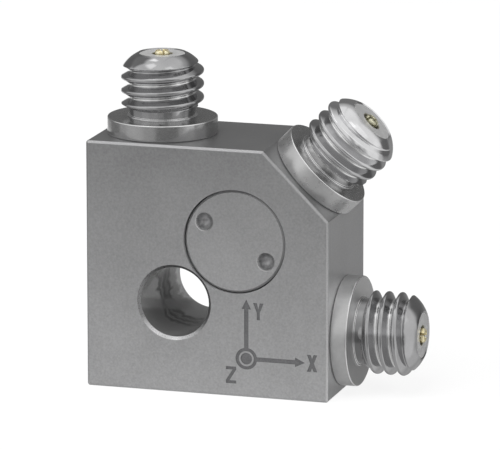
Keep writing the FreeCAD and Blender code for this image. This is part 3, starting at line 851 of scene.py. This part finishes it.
def buildHousing():
    near, far = blockLow[0], blockHigh[0]
    start = far - block["cornerCut"]
    corners = [(near, near), (far, near), (far, start), (start, far), (near, far)]
    points = bevelledPrism(corners, -blockDepth, 0.0, block["edgeBevel"], block["edgeRound"])
    housing = solid("housingBlock", points, frontPlace, blockMaterial)
    sides = {"y": 1, "z": 0, "x": -1}
    tools = boreTools() + [cavityTool()]
    tools += [spigotTool(letter) for letter in sides]
    tools += [passageTool(letter, side) for letter, side in sides.items()]
    carve(housing, tools + signTools())
    finishFaces(housing)
    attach(housing, "root")
    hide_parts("housing")
    print("housing:", len(housing.data.polygons), "faces")


# Cover: a round plug with a bevelled rim and two blind holes with conical floors
cover = {
    "rim": 0.14,
    "rimRound": 0.03,
    "holeRadius": 0.48,
    "holeDepth": 0.35,
    "holeCone": 59.0,
    "holeBreak": 0.07,
    "holeSegments": 64,
    "spread": 2.12,
    "bearing": -30.0,
}


def pinHoleTools(side):
    # the drilled hole with its conical floor, then the bright broken edge at its mouth
    radius, depth, edge = cover["holeRadius"], cover["holeDepth"], cover["holeBreak"]
    front = blockLow[1] - coverLow[1]
    tip = radius / np.tan(np.radians(cover["holeCone"]))
    bearing = np.radians(cover["bearing"])
    offset = side * cover["spread"] * np.array([np.cos(bearing), np.sin(bearing), 0])
    hole = [(0, front - depth - tip), (radius, front - depth), (radius, front + poke)]
    mouth = [(radius - edge, front - 2 * edge), (radius + edge + poke, front + poke)]
    tools = []
    for name, profile, material in (("hole", hole, holeMaterial), ("mouth", mouth, pinMouthMaterial)):
        points = turned(profile, cover["holeSegments"]) + offset
        tools.append(solid(f"{name}Tool{side}", points, coverPlace, material))
    return tools


def buildCover():
    radius, rim = (coverHigh[0] - coverLow[0]) / 2, cover["rim"]
    back, front = blockLow[1] - coverHigh[1], blockLow[1] - coverLow[1]
    corners = [(0, back), (radius, back), (radius, front - rim), (radius - rim, front), (0, front)]
    profile = rounded(corners, {2: cover["rimRound"], 3: cover["rimRound"]}, 4)[1:-1]
    piece = turnedSolid("coverPlug", profile, coverPlace, coverMaterial)
    carve(piece, pinHoleTools(-1) + pinHoleTools(1))
    fromAxis = aboutAxis(triples(piece.data.polygons, "center"), coverPlace)[0]
    # the rim's bevel gets painted shade, as a dark groove
    finishWith(piece, [(fromAxis > radius - rim, groovePaintedShadeMaterial)])     # its shaded groove
    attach(piece, "root")
    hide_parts("cover")
    print("cover:", len(piece.data.polygons), "faces")


# Connector shells: one closed turned surface with a helical thread
shell = {
    "spigotRadius": 1.6,
    "spigotLength": 1.5,
    "flangeRadius": {"y": 3.2, "z": 2.9, "x": 3.2},
    "stand": {"y": 0.0, "z": 0.2, "x": 0.0},
    "flangeHeight": 0.97,
    "flangeBevel": 0.06,
    "footRound": 0.06,
    "collarRadius": 2.02,
    "collarHeight": 0.1,
    "collarRounds": {5: 0.03, 6: 0.04, 7: 0.03},    # by the corner's number in the outline
    "neckRadius": 1.9,
    "neckGlint": {"y": 0.06, "z": 0.32, "x": 0.06},
    "neckTop": 1.46,
    "runout": 0.27,
    "threadRadius": 2.413,
    "pitch": 0.794,
    "threadDepth": 0.487,
    "crestRound": 0.13,
    "threadStart": 1.3,
    "domeStart": 3.7,
    "domeRadius": 2.0,
    "domeSteps": 63,
    "length": 4.68,
    "endFlatRadius": 1.33,
    "lipWidth": 0.07,
    "dish": 0.06,
    "dishRound": 0.04,
    "socketRadius": 0.56,
    "socketRound": 0.05,
    "socketDepth": 0.83,
    "sealRadius": 1.15,
    "blend": 0.012,
    "brightFrom": 0.9,
    "brightOver": 0.06,
    "arcBend": 10.0,
    "rowStep": 0.022,
    "segments": 192,
    "turns": {"y": 208.0, "z": 58.0, "x": 158.0},
}


def shellPlace(letter):
    # the connector's place, moved out by the height at which its flange's seat stands
    across, along, out, origin = connectorPlaces[letter]
    return across, along, out, origin + out * shell["stand"][letter]


def threadRadius(height, angle, turn):
    # a 60 degree V with a rounded crest and root: w is the distance along the axis from the
    # nearest crest; near the crest the radius follows an arc, then falls by tan(60) * w, then
    # meets the root's own arc
    pitch, depth, crest = shell["pitch"], shell["threadDepth"], shell["crestRound"]
    slope, reach = np.tan(np.radians(60)), np.sin(np.radians(60))
    root = slope * pitch / 2 - depth - crest
    phase = (height - shell["threadStart"]) / pitch - (np.degrees(angle) - turn) / 360
    w = np.abs(phase - np.floor(phase) - 0.5) * pitch
    top = shell["threadRadius"]
    onCrest = top - crest + np.sqrt(np.maximum(crest**2 - w**2, 0))
    onFlank = top + crest - slope * w
    fromRoot = pitch / 2 - w
    inRoot = top - depth + root - np.sqrt(np.maximum(root**2 - fromRoot**2, 0))
    radius = np.where(w < reach * crest, onCrest, onFlank)
    return np.where(fromRoot < reach * root, inRoot, radius)


def softMin(a, b, size):
    # the smaller of two values, with their crossing rounded off
    low = np.minimum(a, b)
    return low - size * np.log(np.exp((low - a) / size) + np.exp((low - b) / size))


def domeProfile():
    # the arc from the last full thread to the lip round the dished end, as (radius, height)
    start = np.array([shell["threadRadius"], shell["domeStart"]])
    end = np.array([shell["endFlatRadius"] + shell["lipWidth"], shell["length"]])
    chord = end - start
    span = np.linalg.norm(chord)
    normal = np.array([-chord[1], chord[0]]) / span
    drop = np.sqrt(shell["domeRadius"] ** 2 - (span / 2) ** 2)
    centre = (start + end) / 2 + normal * drop
    first, last = start - centre, end - centre
    turn = np.arccos(first @ last / shell["domeRadius"] ** 2)
    return centre + arcBetween(first, last, turn, shell["domeSteps"])


def shellProfile(letter):
    # the outline once round, as (radius, height), and which rows carry the thread; the extra
    # point on the neck ends the painted highlight at its foot
    seal, spigot, back = shell["sealRadius"], shell["spigotRadius"], -shell["spigotLength"]
    rim, seat = shell["flangeRadius"][letter], -shell["stand"][letter]
    flange, collar = shell["flangeHeight"], shell["flangeHeight"] + shell["collarHeight"]
    ledge, neck, neckTop = shell["collarRadius"], shell["neckRadius"], shell["neckTop"]
    corners = [(seal, back), (spigot, back), (spigot, seat), (rim, seat), (rim, flange)]
    corners += [(ledge, flange), (ledge, collar), (neck, collar)]
    corners += [(neck, collar + shell["neckGlint"][letter]), (neck, neckTop)]
    radii = {3: shell["footRound"], 4: shell["flangeBevel"], **shell["collarRounds"]}
    lower = rounded(corners, radii)
    heights = np.arange(neckTop, shell["domeStart"], shell["rowStep"])[1:]
    runout = [neckTop, neckTop + shell["runout"]]
    widths = np.interp(heights, runout, [neck, shell["threadRadius"]])
    dome = domeProfile()
    front, sealFront = shell["length"] - shell["dish"], shell["length"] - shell["socketDepth"]
    flat, socket = shell["endFlatRadius"], shell["socketRadius"]
    corners = [dome[-2], dome[-1], (flat, front), (socket, front), (socket, sealFront)]
    corners += [(seal, sealFront), (seal, back)]
    upper = rounded(corners, {2: shell["dishRound"], 3: shell["socketRound"]})
    parts = [lower[:-1], np.column_stack([widths, heights]), dome[:-1], upper[1:-1]]
    threaded = np.concatenate([np.full(len(part), i in (1, 2)) for i, part in enumerate(parts)])
    return np.concatenate(parts), threaded


def bendAlong(profile):
    # the turn in degrees at each point of a closed outline, from one side to the next
    ahead = np.roll(profile, -1, 0) - profile
    way = np.arctan2(ahead[:, 1], ahead[:, 0])
    turn = np.degrees(way - np.roll(way, 1))
    return np.abs((turn + 180) % 360 - 180)


def buildShell(letter):
    profile, threaded = shellProfile(letter)
    arcs = bendAlong(profile) > shell["arcBend"]
    profile, threaded, arcs = [np.append(part, part[:1], 0) for part in (profile, threaded, arcs)]
    envelope, height = profile[:, :1], profile[:, 1:]
    cut = threadRadius(height, anglesRound(shell["segments"]), shell["turns"][letter])
    radius = np.where(threaded[:, None], softMin(envelope, cut, shell["blend"]), envelope)
    points = aroundAxis(radius, height, shell["segments"])
    place = shellPlace(letter)
    surfaces = [surface(placed(points, place))]
    piece = makePiece(f"{letter}ThreadedShell", surfaces, shellMaterials[letter])
    storeTurning(piece, place, profile[arcs & ~threaded])
    finishShell(piece, place, letter)
    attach(piece, "root")
    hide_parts(f"{letter}_connector_shell")
    print("shell", letter, len(piece.data.polygons), "faces")


def storeTurning(piece, place, arcs):
    # turningHeight is the height along the turning axis plus the radius, so that end faces get
    # rings; the painted highlight's share rises to 1 over the last part of the thread's depth and on
    # the arcs
    radius, height = aboutAxis(triples(piece.data.vertices, "co"), place)
    deep = (shell["threadRadius"] - radius) / shell["threadDepth"]
    inThread = (height > shell["neckTop"] + shell["runout"]) & (height < shell["domeStart"])
    rise = np.clip((deep - shell["brightFrom"]) / shell["brightOver"], 0, 1)
    bright = np.where(inThread, rise, 0)
    step = shell["flangeHeight"] + shell["collarHeight"] / 2
    outer = arcs[:, 0] > shell["threadRadius"]
    collar = (arcs[:, 1] > step) & (arcs[:, 1] < shell["neckTop"])
    for arcRadius, arcHeight in arcs[outer | collar]:
        bright[np.hypot(radius - arcRadius, height - arcHeight) < closeBy / 10] = 1
    for name, values in (("turningHeight", (height + radius) * mm), ("paintedHighlight", bright)):
        layer = piece.data.attributes.new(name, "FLOAT", "POINT")
        layer.data.foreach_set("value", values.astype(np.float32))


def finishShell(piece, place, letter):
    # slots for the dished end, the flange's ring and side, whose greys are each connector's painted
    # light, the foot in painted shade where it meets the block, and the socket's wall
    radius, height = aboutAxis(triples(piece.data.polygons, "center"), place)
    end, rim = shell["length"] - shell["dish"], shell["flangeRadius"][letter]
    flange, bevel, foot = shell["flangeHeight"], shell["flangeBevel"], shell["footRound"]
    inDish = (height > end - 2 * closeBy) & (radius < shell["endFlatRadius"] - 2 * closeBy)
    onRing = (np.abs(height - flange) < closeBy) & (radius < rim - bevel)
    onSide = (radius > rim - closeBy) & (height < flange - bevel)
    inSocket = (radius < shell["socketRadius"] + 5 * closeBy) & (height > end - shell["socketDepth"])
    atFoot = (height < foot - shell["stand"][letter]) & (radius > shell["collarRadius"])
    finishWith(piece, [
        (inDish, endMaterials[letter]),
        (onRing, ringMaterials[letter]),
        (onSide, flangeMaterials[letter]),
        (inSocket, socketMaterial),
        (atFoot, footPaintedShadeMaterial),
    ])


# Centre contacts: a pin that widens into four springy fingers round a bore
contact = {
    "radius": 0.42,
    "boreRadius": 0.17,
    "proud": 0.14,
    "boreDepth": 0.75,
    "slotWidth": 0.12,
    "slotDepth": 0.55,
    "pinRadius": 0.2,
    "pinTail": 1.0,
    "tipRound": 0.13,
    "mouthRound": 0.06,
    "segments": 64,
}


def slotTool(name, turnedBy, place, material):
    # a flat bar across the contact's front, turned about its axis
    half = contact["slotWidth"] / 2
    reach = contact["radius"] + poke
    front = shell["length"] + contact["proud"]
    outline = np.array([(-half, -reach), (half, -reach), (half, reach), (-half, reach)])
    angle = np.radians(turnedBy)
    spin = np.array([[np.cos(angle), np.sin(angle)], [-np.sin(angle), np.cos(angle)]])
    points = prism(outline @ spin, front - contact["slotDepth"], front + poke)
    return solid(name, points, place, material)


def buildContact(letter, turn):
    place = shellPlace(letter)
    sealFront = shell["length"] - shell["socketDepth"]
    front = shell["length"] + contact["proud"]
    pin, finger, bore = contact["pinRadius"], contact["radius"], contact["boreRadius"]
    tail, floor = -contact["pinTail"], front - contact["boreDepth"]
    corners = [(0, tail), (pin, tail), (pin, sealFront), (finger, sealFront), (finger, front),
               (bore, front), (bore, floor), (0, floor)]
    profile = rounded(corners, {4: contact["tipRound"], 5: contact["mouthRound"]}, 8)
    material = goldMaterials[letter]
    piece = turnedSolid(f"{letter}SlottedContact", profile, place, material, contact["segments"])
    carve(piece, [slotTool(f"slotTool{side}", turn + side, place, material) for side in (0, 90)])
    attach(piece, "root")
    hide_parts(f"{letter}_centre_contact")
    print("contact", letter, len(piece.data.polygons), "faces")


buildHousing()
buildCover()
for letter in "xyz":
    buildShell(letter)
    buildContact(letter, shell["turns"][letter])


# Inner pieces keep their CAD mesh and get a finish each: the ends of their names, then the
# material's name, darker and lighter colour, roughness, noise scale and metallic
innerLooks = {
    "_connector_seal":
        ("sealGlass", (0.12, 0.118, 0.1), (0.22, 0.215, 0.18), (0.15, 0.25), 3000.0, 0.0),
    "_lead_wire":
        ("leadSleeve", (0.6, 0.6, 0.57), (0.75, 0.75, 0.7), (0.4, 0.5), 6000.0, 0.0),
    "element_post":
        ("groundSteel", (0.45, 0.45, 0.45), (0.6, 0.6, 0.6), (0.25, 0.4), 8000.0, 1.0),
    "_crystal_plate":
        ("crystal", (0.5, 0.44, 0.32), (0.62, 0.56, 0.42), (0.3, 0.45), 5000.0, 0.0),
    ("_electrode", "_element_lead"):
        ("electrodeFoil", (0.7, 0.5, 0.22), (0.85, 0.66, 0.36), (0.2, 0.35), 6000.0, 1.0),
    "_seismic_mass":
        ("denseMetal", (0.26, 0.26, 0.28), (0.38, 0.38, 0.4), (0.3, 0.45), 7000.0, 1.0),
    "circuit_board":
        ("solderMask", (0.02, 0.16, 0.06), (0.04, 0.24, 0.1), (0.3, 0.4), 4000.0, 0.0),
    "_amplifier_chip":
        ("mouldedBlack", (0.015, 0.015, 0.015), (0.03, 0.03, 0.03), (0.4, 0.55), 9000.0, 0.0),
    "resistors":
        ("resistorBody", (0.03, 0.03, 0.035), (0.07, 0.07, 0.075), (0.3, 0.45), 9000.0, 0.0),
    "capacitors":
        ("capacitorBody", (0.3, 0.2, 0.12), (0.42, 0.3, 0.19), (0.35, 0.5), 9000.0, 0.0),
}

for ending, look in innerLooks.items():
    material = makePlain(*look)
    for name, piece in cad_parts.items():
        if name.endswith(ending):
            piece.data.materials.clear()
            piece.data.materials.append(material)
print("inner pieces dressed")


# Studio: floor, world, lamps and camera
studio = {
    "floorHalf": 1200.0,
    "floorLift": 0.88,
    "floorGreys": (0.78, 0.82),
    "floorScale": 30.0,
    "white": 1.0,
    "fill": 0.55,
    "aim": 2.0,
}

# what bright metal sees by bearing and elevation, in degrees, from the camera's side of the
# block: bearing 0 looks along -Y and grows towards +X
reflectedCards = [
    # bearing, elevation, half width, half height, softness, level
    (0, -60, 180, 46, 12, 0.48),
    (100, -42, 45, 16, 16, 0.66),
    (5, 28, 112, 26, 14, 0.76),
    (0, 78, 180, 24, 12, 0.8),
    (0, -12, 75, 14, 14, 0.42),
    (-170, 17, 66, 25, 14, 0.17),
    (-115, 45, 22, 14, 10, 0.24),
    (-100, -12, 18, 14, 12, 0.22),
    (-142, -23, 20, 9, 6, 1.0),
    (-152, -8, 10, 8, 6, 1.0),
    (-160, -45, 18, 14, 10, 0.3),
    (152, -12, 28, 14, 10, 0.25),
    (134, -3, 15, 15, 8, 0.12),
    (-45, -18, 20, 20, 16, 0.56),
    (27, -8, 24, 18, 12, 0.2),
    (86, -8, 20, 36, 14, 0.8),
    (30, 20, 8, 20, 8, 0.38),
    (72, 44, 18, 16, 6, 0.92),
    (-58, 68, 22, 8, 6, 1.3),
    (-126, 70, 12, 6, 5, 1.7),
    (55, 64, 20, 8, 6, 1.1),
    (-45, 12, 14, 10, 8, 0.95),
]


def angleFrom(tree, angle, middle, half, softness):
    # 1 within half of the middle, falling to 0 over the softness, all in degrees
    apart = calculate(tree, "WRAP", calculate(tree, "SUBTRACT", angle, middle), 180.0, -180.0)
    size = calculate(tree, "ABSOLUTE", apart)
    edge = node(tree, "ShaderNodeMapRange", {"interpolation_type": "SMOOTHSTEP"}, i0=size,
                i1=half - softness / 2, i2=half + softness / 2, i3=1.0, i4=0.0)
    return edge.outputs[0]


def makeWorld():
    # cameras and glass see plain white, diffuse surfaces the fill, and glossy ones the cards,
    # each laid over those before it
    world = bpy.data.worlds.new("studioWorld")
    bpy.context.scene.world = world
    world.use_nodes = True
    tree = world.node_tree
    tree.nodes.clear()
    toDegrees = 180 / np.pi
    way = tree.nodes.new("ShaderNodeTexCoord").outputs["Generated"]
    x, y, z = node(tree, "ShaderNodeSeparateXYZ", Vector=way).outputs
    swing = calculate(tree, "ARCTAN2", x, calculate(tree, "MULTIPLY", y, -1.0))
    bearing = calculate(tree, "MULTIPLY", swing, toDegrees)
    elevation = calculate(tree, "MULTIPLY", calculate(tree, "ARCSINE", z), toDegrees)
    level = reflectedCards[0][-1]
    for turn, lift, halfWidth, halfHeight, softness, grey in reflectedCards:
        wide = angleFrom(tree, bearing, turn, halfWidth, softness)
        tall = angleFrom(tree, elevation, lift, halfHeight, softness)
        level = valueMix(tree, calculate(tree, "MULTIPLY", wide, tall), level, grey)
    rays = tree.nodes.new("ShaderNodeLightPath").outputs
    seen = calculate(tree, "MAXIMUM", rays["Is Camera Ray"], rays["Is Transmission Ray"])
    plain = valueMix(tree, seen, studio["fill"], studio["white"])
    final = valueMix(tree, rays["Is Glossy Ray"], plain, level)
    sky = node(tree, "ShaderNodeBackground", Color=(1, 1, 1, 1), Strength=final)
    node(tree, "ShaderNodeOutputWorld", Surface=sky.outputs[0])


def makeFloor():
    # a wide pale sheet, lifted towards white for the camera alone; its shadow stays
    half, level = studio["floorHalf"], blockLow[2]
    across, along = np.meshgrid([-half, half], [-half, half])
    points = np.stack([across, along, np.full_like(across, level)], -1)
    material, tree, shader = newMaterial("paleFloor")
    tree.nodes.remove(shader)
    noise = grain(tree, objectCoordinates(tree), studio["floorScale"])
    speckle = between(tree, noise, *studio["floorGreys"])
    pale = node(tree, "ShaderNodeBsdfDiffuse", Color=speckle).outputs[0]
    seen = tree.nodes.new("ShaderNodeLightPath").outputs["Is Camera Ray"]
    glow = node(tree, "ShaderNodeEmission", Color=(1, 1, 1, 1), Strength=seen).outputs[0]
    lift = node(tree, "ShaderNodeMixShader", i0=studio["floorLift"], i1=pale, i2=glow)
    both = node(tree, "ShaderNodeMixShader", i0=seen, i1=pale, i2=lift.outputs[0])
    tree.links.new(both.outputs[0], tree.nodes["Material Output"].inputs["Surface"])
    floor = makePiece("floor", [surface(points, joined=False)], material)
    floor.visible_glossy = False


lamps = {
    # bearing, elevation, distance, size, power
    "leftBox": (-65, 35, 400, 200, 1.1),
    "topBox": (-10, 60, 400, 220, 1.1),
    "rightBox": (80, 40, 400, 160, 0.6),
}


def wayTo(bearing, elevation):
    # the direction of a bearing and an elevation, in degrees
    a, e = np.radians([bearing, elevation])
    return np.array([np.sin(a) * np.cos(e), -np.cos(a) * np.cos(e), np.sin(e)])


def makeLamps():
    aim = np.array([studio["aim"], axisDepth, studio["aim"]])
    for name, (turn, lift, distance, size, power) in lamps.items():
        lamp = bpy.data.lights.new(name, "AREA")
        lamp.size = size * mm
        lamp.energy = power
        way = wayTo(turn, lift)
        holder = bpy.data.objects.new(name, lamp)
        holder.location = Vector((aim + way * distance) * mm)
        holder.rotation_euler = Vector(way).to_track_quat("Z", "Y").to_euler()
        holder.visible_glossy = False
        bpy.context.scene.collection.objects.link(holder)


view = {
    "azimuth": 16.943,
    "elevation": 12.766,
    "roll": -0.028,
    "distance": 312.552,
    "aim": (4.142, -6.185, 4.534),
    "lens": 392.575,
    "sensor": 36.0,
    "near": 10.0,
    "far": 10000.0,
}


def makeCamera():
    # looks at the aim point from the given azimuth and elevation, with a slight roll
    a, r = np.radians([view["azimuth"], view["roll"]])
    back = wayTo(view["azimuth"], view["elevation"])
    level = np.array([np.cos(a), np.sin(a), 0.0])
    upright = np.cross(back, level)
    right = level * np.cos(r) + upright * np.sin(r)
    up = upright * np.cos(r) - level * np.sin(r)
    lens = bpy.data.cameras.new("camera")
    lens.lens = view["lens"]
    lens.sensor_width = view["sensor"]
    lens.clip_start, lens.clip_end = view["near"] * mm, view["far"] * mm
    camera = bpy.data.objects.new("camera", lens)
    place = view["aim"] + back * view["distance"]
    pose = Matrix.Identity(4)
    for row in range(3):
        pose[row][:] = (right[row], up[row], back[row], place[row] * mm)
    camera.matrix_world = pose
    bpy.context.scene.collection.objects.link(camera)
    bpy.context.scene.camera = camera


makeWorld()
makeFloor()
makeLamps()
makeCamera()
bpy.context.scene.view_settings.view_transform = "Standard"
print("studio made")
